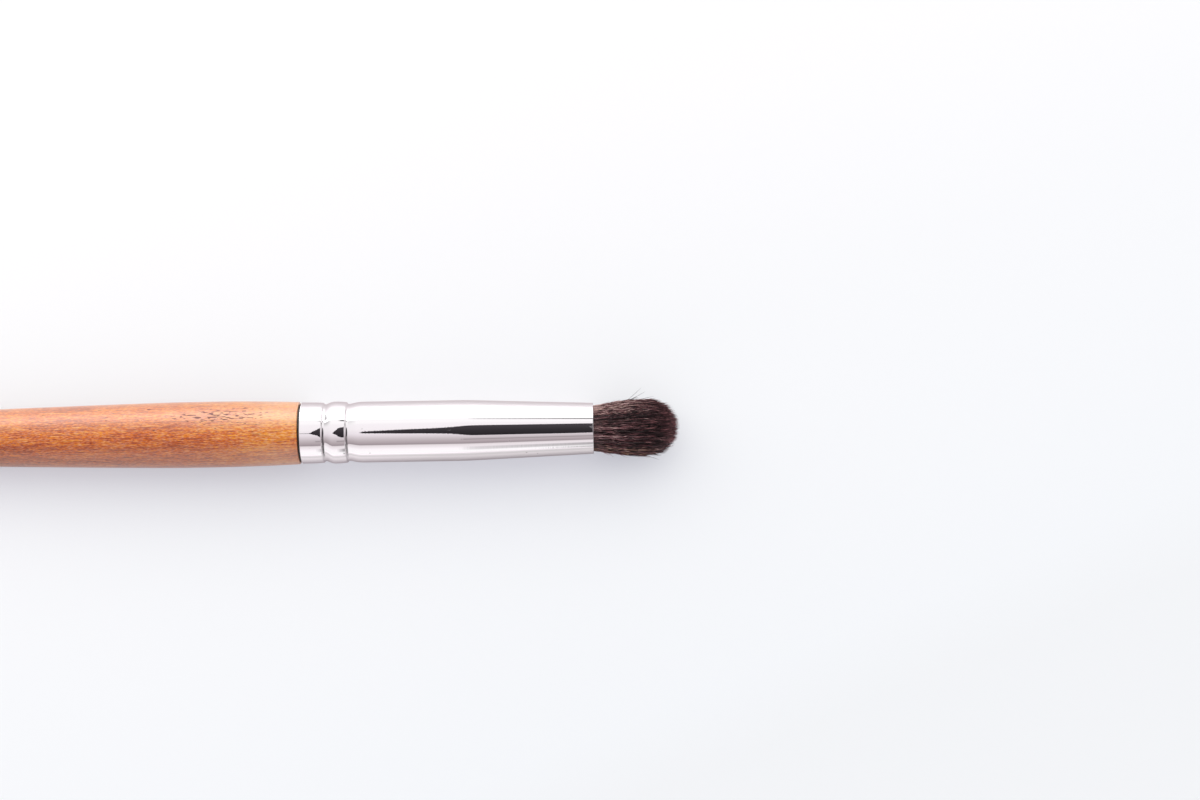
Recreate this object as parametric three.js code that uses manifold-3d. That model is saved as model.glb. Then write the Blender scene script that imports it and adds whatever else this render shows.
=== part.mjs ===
// A round blending brush for face make-up, lying on its side along X with its hair towards +X.
// A turned wooden handle ends in a tenon. A drawn metal ferrule is glued over the tenon and
// crimped onto it with two rolled grooves, which leave a bead between them. The hair is tied
// with thread, pulled through the ferrule from behind and locked by a plug of resin.
// Outlines are lists of [x, radius] in millimetres, with x = 0 at the ferrule's rear rim.
import * as THREE from 'three';
import { mergeVertices } from 'three/addons/utils/BufferGeometryUtils.js';
import Module from 'manifold-3d';

// Handle
const handleLength = 115;
const bellyRadius = 5.06; // thickest part of the grip
const bellyFromShoulder = 13.7;
const bellyCrest = 3; // length of the crest, which is what the brush lies on
const shoulderStep = 0.1; // how far the wood stands out beyond the ferrule where they meet
const shoulderRounding = 0.22;
const tailRadius = 2.65;
const tailRounding = 3.4; // length over which the tail closes to its flat end
const buttRadius = 1.3; // flat end, where the lathe centre was cut off and sanded
const bellyPullShare = 0.105; // place of the taper curve's front handle, along its run
const tailPullShare = 0.39; // place of its rear handle
const tailGainShare = 0.4; // how much of the swelling that handle has gained
const tenonChamfer = 0.8;

// Ferrule
const ferruleLength = 44.75;
const ferruleWall = 0.32;
const rimRounding = 0.1;
const bandRadius = 4.7;
const bandLength = 3.31; // rear rim to the first groove
const bandFallShare = 0.62; // of the band's length, over which it falls gently towards the groove
const bandFall = 0.085;
const grooveWall = 0.17; // length of a groove's steep rear wall
const grooveFloor = 0.27;
const floorFall = 0.02; // how much deeper the floor is at its front
const grooveDepth = 0.32; // below the band
const beadRise = 1.5; // length of the bead's rear slope, up to its crest
const beadHeight = 0.07; // above the band
const beadCrown = 1.67; // crest to the second groove
const crownFall = 0.11;
const tubeShoulder = 2; // length over which the tube rises from the second groove
const tubeInset = 0.01; // of the tube below the band, behind the bead
const taperInset = 0.02; // the same, where the tube turns into the cone
const taperLength = 19.5;
const taperBlend = 2; // half of the length over which it turns
const mouthRadius = 3.92;

// Glue and resin
const fitClearance = 0.05; // between one piece and the next
const shoulderGap = 0.3; // between the wood's shoulder and the ferrule's rear rim
const glueThickness = 0.12;
const glueLineRecess = 0.2; // how far the glue in that gap lies below the ferrule's surface
const chamberLength = 9.7; // empty stretch between the tenon and the resin
const resinLength = 4;
const meniscusDepth = 0.7;
const meniscusShare = 0.55; // radius of the hollow's floor as a share of the plug's radius

// Hair
const tuftLength = 13.1; // mouth to the tip, in the middle
const tuftSideLength = 8.6; // the same at the outside
const tuftRadius = 4.6;
const tuftBellyReach = 7.4; // mouth to where the tuft is widest
const domePower = 2.4; // 2 makes the dome half an ellipse, and more makes it blunter
const tipDrawIn = 0.4; // how far hairs bend back in at the tip
const rootLength = 11.5; // hair held inside the ferrule
const rootRecess = 0.15; // how far inside the mouth the hairs separate
const rootSlope = 0.5; // length of the sloped sides of the tied waist
const strandCount = 360;
const strandSides = 3;
const strandRadiusShare = 0.41; // of the spacing between strands
const strandSeat = 0.4; // depth to which a strand is sunk in the glued root
const strandRingShares = [0.42, 0.88]; // of a strand's length
const strandTaperShares = [1, 0.8]; // of its thickness at those rings

// Thread
const threadDiameter = 0.4;
const threadSpacing = 0.5; // clear width between two turns
const threadTurns = 4;
const threadFromRootEnd = 1.6;

// Facets, each an even count so that a flat lies underneath
const roundSides = 32;
const threadSides = 6;
const threadStepsPerTurn = 24;
const tailSteps = 5;
const taperSteps = 12;
const frontSteps = 4;
const shoulderSteps = 3;
const fallSteps = 2; // gentle falls ahead of a groove
const riseSteps = 4; // bead's rear slope
const tubeSteps = 5;
const blendSteps = 4;

const goldenAngle = Math.PI * (3 - Math.sqrt(5));

// Places along the axis
const shoulderX = -shoulderGap;
const buttX = shoulderX - handleLength;
const grooveOneX = bandLength + grooveWall; // start of a groove's floor
const crestX = grooveOneX + grooveFloor + beadRise;
const grooveTwoX = crestX + beadCrown + grooveWall;
const taperX = ferruleLength - taperLength;
const mouthX = ferruleLength;
const tipX = mouthX + tuftLength;
const rootFaceX = mouthX - rootRecess;
const rootBackX = mouthX - rootLength;
const resinFrontX = rootBackX - fitClearance;
const resinBackX = resinFrontX - resinLength;
const tenonEndX = resinBackX - chamberLength;

// Radii that follow the band's
const grooveRadius = bandRadius - grooveDepth;
const beadRadius = bandRadius + beadHeight;
const tubeRadius = bandRadius - tubeInset;
const taperRadius = bandRadius - taperInset;
const shoulderRadius = bandRadius + shoulderStep;

const steps = (count) => Array.from({ length: count + 1 }, (_, i) => i / count);
const quarter = Math.PI / 2;

// Radius of an outline at x, in a straight line between its points.
function radiusAt(outline, x) {
  const after = outline.findIndex((point) => point[0] >= x);
  if (after <= 0) return outline[Math.max(after, 0)][1];
  const [x0, r0] = outline[after - 1];
  const [x1, r1] = outline[after];
  return THREE.MathUtils.mapLinear(x, x0, x1, r0, r1);
}

// The stretch of an outline from one x to another, with a gap taken off its radius.
function stretch(outline, fromX, toX, gap) {
  const inside = outline.filter(([x]) => x > fromX && x < toX);
  const ends = (x) => [x, radiusAt(outline, x)];
  return [ends(fromX), ...inside, ends(toX)].map(([x, r]) => [x, r - gap]);
}

// Turns an outline about the X axis, with a flat facet at the top and at the bottom.
function turned(outline) {
  const points = outline.map(([x, r]) => new THREE.Vector2(r, x));
  const geometry = new THREE.LatheGeometry(points, roundSides, Math.PI / roundSides);
  return geometry.rotateZ(-quarter);
}

// The tube's outside, from the rear rim to the mouth.
function ferruleOutside() {
  const rim = (x, r, way) => [
    [x, r - rimRounding],
    [x + way * rimRounding, r],
  ];
  // A fall is a parabola that starts level, and a rise is a quarter sine that ends level.
  const fall = (x, length, r, depth) => steps(fallSteps).map((t) => [x + length * t, r - depth * t * t]);
  const rise = (x, length, r, count) => steps(count).map((t) => [
    x + length * t,
    grooveRadius + (r - grooveRadius) * Math.sin(quarter * t),
  ]);
  const bandRun = bandLength * bandFallShare;
  return [
    ...rim(0, bandRadius, 1),
    ...fall(bandLength - bandRun, bandRun, bandRadius, bandFall),
    [grooveOneX, grooveRadius + floorFall],
    ...rise(grooveOneX + grooveFloor, beadRise, beadRadius, riseSteps),
    ...fall(crestX, beadCrown, beadRadius, crownFall).slice(1),
    [grooveTwoX, grooveRadius + floorFall],
    ...rise(grooveTwoX + grooveFloor, tubeShoulder, tubeRadius, tubeSteps),
    ...taperTurn(blendSteps),
    ...rim(mouthX, mouthRadius, -1).reverse(),
  ];
}

// The soft turn from the straight tube into the cone: a parabola that is tangent to both.
function taperTurn(count) {
  const back = [taperX - taperBlend, taperRadius + (tubeRadius - taperRadius) * taperBlend / taperLength];
  const front = [taperX + taperBlend, THREE.MathUtils.lerp(taperRadius, mouthRadius, taperBlend / taperLength)];
  const curve = new THREE.QuadraticBezierCurve(
    new THREE.Vector2(...back),
    new THREE.Vector2(taperX, taperRadius),
    new THREE.Vector2(...front),
  );
  return curve.getPoints(count).map((p) => [p.x, p.y]);
}

// The tube's bore, which follows the outside with fewer points.
function ferruleBore() {
  const outside = [
    [0, bandRadius],
    [bandLength * (1 - bandFallShare), bandRadius],
    [bandLength - grooveWall, bandRadius - bandFall],
    [grooveOneX, grooveRadius],
    [grooveOneX + grooveFloor, grooveRadius],
    [crestX - beadRise / 2, THREE.MathUtils.lerp(grooveRadius, beadRadius, Math.sin(quarter / 2))],
    [crestX, beadRadius],
    [crestX + beadCrown - grooveWall, beadRadius - crownFall],
    [grooveTwoX, grooveRadius],
    [grooveTwoX + grooveFloor, grooveRadius],
    [grooveTwoX + grooveFloor + tubeShoulder, tubeRadius],
    ...taperTurn(2),
    [mouthX, mouthRadius],
  ];
  return outside.map(([x, r]) => [x, r - ferruleWall]);
}

const bore = ferruleBore();

function ferrule() {
  const outline = [...ferruleOutside(), ...bore.toReversed()];
  return turned([...outline, outline[0]]);
}

// Flat butt, rounded tail, long taper, belly, shoulder and the tenon that fills the ferrule.
function handle() {
  const tailX = buttX + tailRounding;
  const tail = steps(tailSteps).map((t) => [
    tailX - tailRounding * Math.cos(quarter * t),
    buttRadius + (tailRadius - buttRadius) * Math.sin(quarter * t),
  ]);
  const bellyFrontX = shoulderX - bellyFromShoulder;
  const bellyBackX = bellyFrontX - bellyCrest;
  const run = bellyBackX - tailX;
  const taper = new THREE.CubicBezierCurve(
    new THREE.Vector2(tailX, tailRadius),
    new THREE.Vector2(tailX + run * tailPullShare, THREE.MathUtils.lerp(tailRadius, bellyRadius, tailGainShare)),
    new THREE.Vector2(bellyBackX - run * bellyPullShare, bellyRadius),
    new THREE.Vector2(bellyBackX, bellyRadius),
  );
  const edgeX = shoulderX - shoulderRounding;
  const front = steps(frontSteps).map((t) => [
    THREE.MathUtils.lerp(bellyFrontX, edgeX, t),
    THREE.MathUtils.lerp(bellyRadius, shoulderRadius, t * t),
  ]);
  const edge = steps(shoulderSteps).slice(1).map((t) => [
    edgeX + shoulderRounding * Math.sin(quarter * t),
    shoulderRadius - shoulderRounding * (1 - Math.cos(quarter * t)),
  ]);
  const tenonGap = glueThickness + 2 * fitClearance;
  const tenon = stretch(bore, 0, tenonEndX - tenonChamfer, tenonGap);
  return turned([
    [buttX, 0],
    ...tail,
    ...taper.getPoints(taperSteps).slice(1).map((p) => [p.x, p.y]),
    ...front,
    ...edge,
    [shoulderX, tenon[0][1]],
    ...tenon,
    [tenonEndX, tenon.at(-1)[1] - tenonChamfer],
    [tenonEndX, 0],
  ]);
}

// The film of glue round the tenon, with the thin line of it that fills the gap at the shoulder.
function glueFilm() {
  const outside = stretch(bore, -fitClearance, tenonEndX - tenonChamfer, fitClearance);
  const inside = stretch(bore, shoulderX + fitClearance, tenonEndX - tenonChamfer, fitClearance + glueThickness);
  const lineRadius = bandRadius - glueLineRecess;
  const outline = [
    [shoulderX + fitClearance, lineRadius],
    [-fitClearance, lineRadius],
    ...outside,
    ...inside.toReversed(),
  ];
  return turned([...outline, outline[0]]);
}

// The plug behind the roots, with the shallow hollow that setting resin leaves in its rear face.
function resinPlug() {
  const side = stretch(bore, resinBackX, resinFrontX, fitClearance);
  return turned([
    [resinBackX + meniscusDepth, 0],
    [resinBackX + meniscusDepth, side[0][1] * meniscusShare],
    ...side,
    [resinFrontX, 0],
  ]);
}

// The thread's place: it lies in a waist of the root, inside the bore.
const threadRadius = threadDiameter / 2;
const threadPitch = threadDiameter + threadSpacing;
const waistLength = threadTurns * threadPitch + threadDiameter + 2 * fitClearance;
const waistX = rootBackX + threadFromRootEnd;
const facetShare = Math.cos(Math.PI / roundSides);
const stepShare = Math.cos(Math.PI / threadStepsPerTurn);
const narrowestBore = radiusAt(bore, waistX + waistLength);
const windingRadius = narrowestBore * facetShare - fitClearance - threadRadius;
const waistRadius = windingRadius * stepShare - threadRadius - fitClearance;

// Radius of the tuft at a distance from the mouth, for a hair at its outside.
const rootRadius = radiusAt(bore, mouthX) - fitClearance;
function tuftSpread(reach) {
  if (reach < 0) return rootRadius;
  if (reach < tuftBellyReach) {
    return THREE.MathUtils.lerp(rootRadius, tuftRadius, Math.sin(quarter * reach / tuftBellyReach));
  }
  const past = (reach - tuftBellyReach) / (tuftLength - tuftBellyReach);
  return tuftRadius - tipDrawIn * past * past;
}

// Three-sided hairs on a sunflower spiral. All follow the same spread, so none of them cross.
function strands() {
  const thickness = rootRadius * Math.sqrt(Math.PI / strandCount) * strandRadiusShare;
  const field = rootRadius * facetShare - thickness;
  const positions = [];
  const indices = [];
  for (let i = 0; i < strandCount; i++) {
    const share = Math.sqrt((i + 0.5) / strandCount);
    const angle = i * goldenAngle;
    const length = tuftSideLength + (tuftLength - tuftSideLength) * Math.sqrt(1 - share ** domePower);
    const first = positions.length / 3;
    const place = (reach, side, width) => {
      const spread = tuftSpread(reach) / rootRadius;
      const corner = angle + Math.PI * (2 * side + 1) / strandSides;
      positions.push(
        mouthX + reach,
        spread * (field * share * Math.cos(angle) + width * Math.cos(corner)),
        spread * (field * share * Math.sin(angle) + width * Math.sin(corner)),
      );
    };
    const reaches = [-rootRecess - strandSeat, ...strandRingShares.map((s) => s * length)];
    const widths = [thickness, ...strandTaperShares.map((s) => s * thickness)];
    reaches.forEach((reach, ring) => {
      for (let side = 0; side < strandSides; side++) place(reach, side, widths[ring]);
    });
    place(length, 0, 0);
    const tip = first + reaches.length * strandSides;
    for (let side = 0; side < strandSides; side++) {
      const next = (side + 1) % strandSides;
      for (let ring = 0; ring < reaches.length - 1; ring++) {
        const a = first + ring * strandSides;
        const b = a + strandSides;
        indices.push(a + side, a + next, b + side, a + next, b + next, b + side);
      }
      const last = tip - strandSides;
      indices.push(last + side, last + next, tip);
      if (side > 1) indices.push(first, first + side, first + side - 1);
    }
  }
  return new THREE.BufferGeometry()
    .setAttribute('position', new THREE.Float32BufferAttribute(positions, 3))
    .setIndex(indices);
}

// The glued root with its tied waist, and the hairs that stand in it.
function hairTuft() {
  const waistEndX = waistX + waistLength;
  const root = turned([
    [rootBackX, 0],
    ...stretch(bore, rootBackX, waistX - rootSlope, fitClearance),
    [waistX, waistRadius],
    [waistEndX, waistRadius],
    ...stretch(bore, waistEndX + rootSlope, rootFaceX, fitClearance),
    [rootFaceX, 0],
  ]);
  return geometryOf(solidOf(root).add(solidOf(strands())));
}

class Helix extends THREE.Curve {
  getPoint(t, target = new THREE.Vector3()) {
    const angle = 2 * Math.PI * threadTurns * t;
    const startX = waistX + fitClearance + threadRadius;
    return target.set(
      startX + threadPitch * threadTurns * t,
      windingRadius * Math.cos(angle),
      windingRadius * Math.sin(angle),
    );
  }
}

// The least clear width between one stretch of the thread and another, half a turn on or more.
function leastGap(curve) {
  const points = curve.getPoints(threadTurns * threadStepsPerTurn);
  let least = Infinity;
  points.forEach((point, i) => {
    for (const other of points.slice(i + threadStepsPerTurn / 2)) {
      least = Math.min(least, point.distanceTo(other) - threadDiameter);
    }
  });
  return least;
}

function tieThread() {
  const helix = new Helix();
  console.log(`The thread's least gap to itself is ${leastGap(helix).toFixed(2)} mm`);
  const corners = steps(threadSides).slice(1).map((t) => {
    const angle = 2 * Math.PI * t;
    return new THREE.Vector2(threadRadius * Math.cos(angle), threadRadius * Math.sin(angle));
  });
  return new THREE.ExtrudeGeometry(new THREE.Shape(corners), {
    steps: threadTurns * threadStepsPerTurn,
    extrudePath: helix,
    bevelEnabled: false,
  });
}

const wasm = await Module();
wasm.setup();

// A closed geometry as a solid that can be joined and cut.
function solidOf(geometry) {
  const bare = geometry.clone();
  bare.deleteAttribute('normal');
  bare.deleteAttribute('uv');
  const merged = mergeVertices(bare);
  return new wasm.Manifold(new wasm.Mesh({
    numProp: 3,
    vertProperties: merged.attributes.position.array,
    triVerts: new Uint32Array(merged.index.array),
  }));
}

function geometryOf(solid) {
  const { vertProperties, triVerts } = solid.getMesh();
  return new THREE.BufferGeometry()
    .setAttribute('position', new THREE.BufferAttribute(vertProperties, 3))
    .setIndex(new THREE.BufferAttribute(triVerts, 1));
}

const lacqueredBeech = new THREE.MeshStandardMaterial({ color: 0xc98550, roughness: 0.38, metalness: 0 });
const platedBrass = new THREE.MeshStandardMaterial({ color: 0xd8d6d6, roughness: 0.06, metalness: 1 });
const setGlue = new THREE.MeshStandardMaterial({ color: 0x2a1a14, roughness: 0.5, metalness: 0 });
const clearResin = new THREE.MeshStandardMaterial({ color: 0xc9a768, roughness: 0.2, metalness: 0 });
const darkHair = new THREE.MeshStandardMaterial({ color: 0x3c2b2c, roughness: 0.6, metalness: 0 });
const cottonThread = new THREE.MeshStandardMaterial({ color: 0xe8e2d2, roughness: 0.9, metalness: 0 });

// The axis lies at the height that puts the widest ring's lowest flat on the ground.
const brush = new THREE.Group();
const axis = new THREE.Group();
axis.position.set(-(buttX + tipX) / 2, 0, Math.max(bellyRadius, beadRadius, tuftRadius) * facetShare);
brush.add(axis);

function addPiece(name, geometry, material) {
  const mesh = new THREE.Mesh(geometry, material);
  mesh.name = name;
  axis.add(mesh);
}

addPiece('handle', handle(), lacqueredBeech);
addPiece('handle_glue', glueFilm(), setGlue);
addPiece('ferrule', ferrule(), platedBrass);
addPiece('root_resin', resinPlug(), clearResin);
addPiece('tie_thread', tieThread(), cottonThread);
addPiece('hair_tuft', hairTuft(), darkHair);

export default brush;
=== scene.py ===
import math
from functools import partial
import bpy
import numpy as np
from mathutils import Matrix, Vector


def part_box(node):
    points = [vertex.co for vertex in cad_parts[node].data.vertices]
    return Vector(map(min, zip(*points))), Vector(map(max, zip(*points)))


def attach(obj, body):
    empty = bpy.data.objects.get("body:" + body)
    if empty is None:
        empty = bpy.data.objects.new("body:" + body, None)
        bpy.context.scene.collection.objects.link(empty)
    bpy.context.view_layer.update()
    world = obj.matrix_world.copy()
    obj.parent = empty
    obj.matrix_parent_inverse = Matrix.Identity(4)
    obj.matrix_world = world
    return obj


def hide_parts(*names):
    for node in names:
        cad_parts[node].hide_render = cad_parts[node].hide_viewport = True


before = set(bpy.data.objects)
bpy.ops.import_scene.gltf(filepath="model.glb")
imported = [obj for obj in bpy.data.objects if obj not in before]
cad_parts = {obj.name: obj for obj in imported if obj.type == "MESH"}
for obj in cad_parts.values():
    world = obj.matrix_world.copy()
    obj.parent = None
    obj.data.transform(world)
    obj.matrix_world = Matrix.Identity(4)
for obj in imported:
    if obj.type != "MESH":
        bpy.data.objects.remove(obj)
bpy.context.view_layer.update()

# The brush lies along X with its hair towards +X. Sizes are in millimetres until a mesh is made.
mm = 0.001
ferruleLow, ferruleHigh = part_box("ferrule")
handleLow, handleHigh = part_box("handle")
tuftLow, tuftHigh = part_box("hair_tuft")
resinLow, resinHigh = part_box("root_resin")
threadLow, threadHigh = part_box("tie_thread")
rimX = ferruleLow.x / mm  # rear rim of the ferrule, where wood meets metal
mouthX = ferruleHigh.x / mm
buttX = handleLow.x / mm
tenonEndX = handleHigh.x / mm
tipX = tuftHigh.x / mm
rootBackX = tuftLow.x / mm
axisZ = (ferruleLow.z + ferruleHigh.z) / 2 / mm
print("frame: brush", round(tipX - buttX, 1), "mm long, axis at", round(axisZ, 2), "mm")

# Camera

view = {
    "distance": 353,  # lens to the brush's axis
    "lens": 68.8,
    "sensor": 36,
    "aheadOfMouth": 1.09,  # the picture's centre, from the middle of the ferrule's mouth
    "besideAxis": 4.33,
    "turn": -0.0166,  # radians; the hair end stands a little higher in the picture
}
cameraX = mouthX + view["aheadOfMouth"]
cameraData = bpy.data.cameras.new("camera")
cameraData.lens = view["lens"]
cameraData.sensor_width = view["sensor"]
cameraData.clip_start = 0.01
camera = bpy.data.objects.new("camera", cameraData)
camera.location = [cameraX * mm, view["besideAxis"] * mm, (axisZ + view["distance"]) * mm]
camera.rotation_euler = (0, 0, view["turn"])
bpy.context.scene.collection.objects.link(camera)
bpy.context.scene.camera = camera
print("camera placed")


def toLinear(code):
    # sRGB hex to linear light, with alpha 1
    parts = [int(code[i:i + 2], 16) / 255 for i in (0, 2, 4)]
    return [c / 12.92 if c <= 0.04045 else ((c + 0.055) / 1.055) ** 2.4 for c in parts] + [1]


def addNode(tree, kind, inputs=None, stops=(), **settings):
    # inputs are values, sockets to link, or nodes, whose first output in use is linked; stops are
    # a ramp's (place from 0 to 1, sRGB hex); settings go on the node
    node = tree.nodes.new("ShaderNode" + kind)
    for key, value in settings.items():
        setattr(node, key, value)
    for key, value in (inputs or {}).items():
        if isinstance(value, bpy.types.Node):
            value = next(output for output in value.outputs if output.enabled)
        if isinstance(value, bpy.types.NodeSocket):
            tree.links.new(value, node.inputs[key])
        else:
            node.inputs[key].default_value = value
    for index, (position, code) in enumerate(stops):
        if index == len(node.color_ramp.elements):
            node.color_ramp.elements.new(1)
        node.color_ramp.elements[index].position = position
        node.color_ramp.elements[index].color = toLinear(code)
    return node


def newMaterial(name):
    material = bpy.data.materials.new(name)
    material.use_nodes = True
    material.node_tree.nodes.clear()
    return material, partial(addNode, material.node_tree)


def noiseMaterial(name, noise, stops, relief, surface, stretch=(1, 1, 1)):
    # One noise sets both the shade and the relief.
    material, add = newMaterial(name)
    place = add("TexCoord").outputs["Object"]
    stretched = add("Mapping", {"Vector": place, "Scale": stretch})
    pattern = add("TexNoise", {"Vector": stretched, **noise})
    shade = add("ValToRGB", {"Fac": pattern}, stops)
    bump = add("Bump", {"Height": pattern, **relief})
    shader = add("BsdfPrincipled", {"Base Color": shade, "Normal": bump, **surface})
    add("OutputMaterial", {"Surface": shader})
    return material


def addObject(name, points, faces, material):
    mesh = bpy.data.meshes.new(name)
    mesh.from_pydata(points, [], faces)
    mesh.materials.append(material)
    added = bpy.data.objects.new(name, mesh)
    bpy.context.scene.collection.objects.link(added)
    return added


def addPiece(name, points, faces, material, slot, replaced, sharpDegrees=None):
    # points are millimetres; the piece sits at the origin with its place in its mesh
    piece = addObject(name, (points * mm).tolist(), faces, material)
    piece.data.validate()
    piece.data.polygons.foreach_set("use_smooth", np.ones(len(piece.data.polygons), bool))
    if sharpDegrees:
        piece.data.set_sharp_from_angle(angle=math.radians(sharpDegrees))
    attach(piece, "root")
    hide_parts(replaced)
    return piece


def roundAxis(x, radius, angle):
    # Points at an angle round the brush's axis, from +Y
    return np.stack(np.broadcast_arrays(x, radius * np.cos(angle), axisZ + radius * np.sin(angle)), -1)


def turned(x, r, sides, closed=False):
    # Surface of revolution about the brush's axis. A profile starts and ends on the
    # axis, where r is 0, or closes on itself.
    corner = np.arange(sides)
    onAxis = r[:, None] < 1e-9
    counts = np.where(onAxis, 1, sides)
    index = np.cumsum(counts)[:, None] - counts + np.where(onAxis, 0, corner)
    ring = roundAxis(x[:, None], r[:, None], 2 * np.pi * corner / sides)
    points = ring[~onAxis | (corner == 0)]
    here = index if closed else index[:-1]
    there = np.roll(index, -1, 0) if closed else index[1:]
    quads = np.stack([here, np.roll(here, -1, 1), np.roll(there, -1, 1), there], -1).reshape(-1, 4)
    fromPole = quads[:, 0] == quads[:, 1]
    toPole = quads[:, 2] == quads[:, 3]
    faces = quads[~fromPole & ~toPole].tolist()
    faces += quads[fromPole][:, [0, 2, 3]].tolist()
    faces += quads[toPole][:, [0, 1, 2]].tolist()
    return points, faces


def softened(x, y, width):
    # Rounds the corners of a curve y(x), x evenly spaced, by a bell-shaped moving average.
    step = x[1] - x[0]
    reach = int(math.ceil(3 * width / step))
    bell = np.exp(-0.5 * (np.arange(-reach, reach + 1) * step / width) ** 2)
    before = y[0] - (y[1] - y[0]) * np.arange(reach, 0, -1)
    after = y[-1] + (y[-1] - y[-2]) * np.arange(1, reach + 1)
    return np.convolve(np.concatenate([before, y, after]), bell / bell.sum(), "valid")


# Ferrule

ferruleShape = {
    "band": 4.7,  # radius of the plain band behind the first groove
    "bandLength": 3.31,
    "bandFallShare": 0.62,
    "bandFall": 0.085,
    "grooveWall": 0.17,  # length of a groove's steep rear wall
    "grooveFloor": 0.27,
    "floorFall": 0.02,
    "grooveDepth": 0.32,
    "beadRise": 1.35,
    "beadHeight": 0.07,
    "beadCrown": 1.82,
    "crownFall": 0.118,
    "tubeShoulder": 2,
    "tubeInset": 0.01,
    "taperInset": 0.02,
    "taperLength": 19.5,
    "taperSoftness": 1,
    "mouth": 3.92,
    "wall": 0.32,
    "rimRounding": 0.06,
    "rollSoftness": 0.045,  # rounding that the roller leaves in the grooves
    "grooveShadeShare": 0.85,  # how much of the metal the painted shade in a groove hides
    "grooveShadeWidth": 0.2,  # half of its width
    "grooveShadeCore": 0.06,  # half of the width at full strength, in the first groove
    "grooveShadeAhead": 0.1,  # from the foot of a groove's wall to the middle of the painted shade
    "stations": 280,
    "sides": 192,
}


def ferruleOutline():
    # Outside radius from the rear rim on: a band that falls off in a parabola, a groove with a
    # steep wall, a bead that rises in a quarter sine and falls off in a parabola, another
    # groove, a quarter sine up to the tube, and a straight cone.
    f = ferruleShape
    length = mouthX - rimX
    s = np.arange(0, length + 0.005, 0.01)
    bead = f["band"] + f["beadHeight"]
    floor = f["band"] - f["grooveDepth"]
    grooveOne = f["bandLength"] + f["grooveWall"]
    crest = grooveOne + f["grooveFloor"] + f["beadRise"]
    beadEnd = crest + f["beadCrown"]
    grooveTwo = beadEnd + f["grooveWall"]
    tubeFoot = grooveTwo + f["grooveFloor"]
    tube, taper = f["band"] - f["tubeInset"], f["band"] - f["taperInset"]
    cone = np.interp(s, [0, length - f["taperLength"], length], [tube, taper, f["mouth"]])
    cone = softened(s, cone, f["taperSoftness"])
    bandRun = f["bandLength"] * f["bandFallShare"]
    band = f["band"] - f["bandFall"] * np.clip((s - f["bandLength"]) / bandRun + 1, 0, 1) ** 2
    crown = bead - f["crownFall"] * np.clip((s - crest) / f["beadCrown"], 0, 1) ** 2
    beadUp = np.clip((s - crest) / f["beadRise"] + 1, 0, 1)
    tubeUp = np.clip((s - tubeFoot) / f["tubeShoulder"], 0, 1)
    grooveR = [f["band"] - f["bandFall"], floor + f["floorFall"], floor]
    firstGroove = np.interp(s, [f["bandLength"], grooveOne, grooveOne + f["grooveFloor"]], grooveR)
    grooveR[0] = bead - f["crownFall"]
    secondGroove = np.interp(s, [beadEnd, grooveTwo, tubeFoot], grooveR)
    radius = np.select(
        [s < f["bandLength"], s < grooveOne + f["grooveFloor"], s < crest, s < beadEnd, s < tubeFoot],
        [band, firstGroove, floor + (bead - floor) * np.sin(np.pi / 2 * beadUp), crown, secondGroove],
        floor + (cone - floor) * np.sin(np.pi / 2 * tubeUp),
    )
    return s, softened(s, radius, f["rollSoftness"])


outlineS, outlineR = ferruleOutline()


def ferruleRadius(s):
    return np.interp(s, outlineS, outlineR)


def boreRadius(s):
    return ferruleRadius(s) - ferruleShape["wall"]


def turnStations(low, high, count):
    # Places along the ferrule, closer together where its outline turns.
    s = outlineS[(outlineS >= low) & (outlineS <= high)]
    bend = np.abs(np.gradient(np.gradient(ferruleRadius(s), s), s))
    weight = np.cumsum(1 + 6 * bend)
    return np.interp(np.linspace(weight[0], weight[-1], count), weight, s)


def roundedEnd(x, inner, outer, rounding, way, steps=5):
    # The end of a tube's wall with both edges rounded, from its outside to its inside.
    a = np.linspace(0, np.pi / 2, steps)
    xs = x - way * rounding * (1 - np.sin(a))
    over = outer - rounding * (1 - np.cos(a))
    under = inner + rounding * (1 - np.cos(a))
    return np.concatenate([xs, xs[::-1]]), np.concatenate([over, under[::-1]])


def ferruleProfile():
    f = ferruleShape
    edge = f["rimRounding"]
    length = mouthX - rimX
    near = 0.01  # keeps the shading of the rounded rims off the long faces beside them
    between = turnStations(edge + near, length - edge - near, f["stations"])
    s = np.concatenate([[edge], between, [length - edge]])
    inS = s[::4][::-1]  # the bore needs fewer
    mouthS, mouthR = roundedEnd(length, f["mouth"] - f["wall"], f["mouth"], edge, 1)
    rimS, rimR = roundedEnd(0, f["band"] - f["wall"], f["band"], edge, -1)
    return (np.concatenate([s, mouthS, inS, rimS[::-1]]) + rimX,
            np.concatenate([ferruleRadius(s), mouthR, boreRadius(inS), rimR[::-1]]))


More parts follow.
